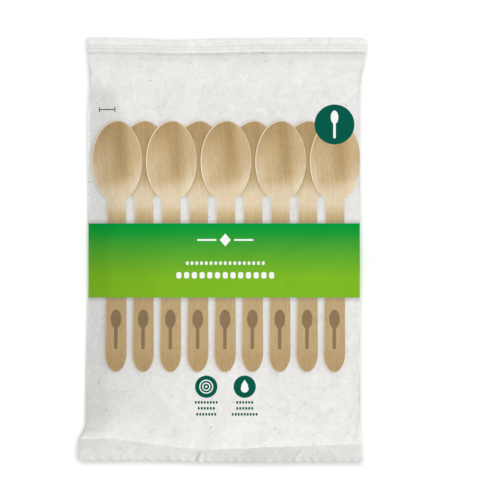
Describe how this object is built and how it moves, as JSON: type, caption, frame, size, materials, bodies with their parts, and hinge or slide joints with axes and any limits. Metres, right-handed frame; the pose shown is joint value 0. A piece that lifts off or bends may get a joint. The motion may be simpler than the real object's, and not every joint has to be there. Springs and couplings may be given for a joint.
{
  "type": "wooden cutlery pack",
  "caption": "Sealed paper pillow pack of wooden spoons with crimped, zigzag-cut end seals, a row of spoons and a green band printed on the front; lies flat on its back.",
  "frame": {"origin": "middle of the pack's box in X and Y, on the flat of the back panel that it lies on", "axes": "+X to the right of the printed front, +Y to the top seal, +Z out of the front panel"},
  "size_m": [0.131, 0.192, 0.029],
  "materials": {
    "printed_paper": "matt speckled recycled paper, printed on the front"
  },
  "bodies": {
    "root": {"sealed_paper_pack": "printed_paper"}
  },
  "joints": []
}
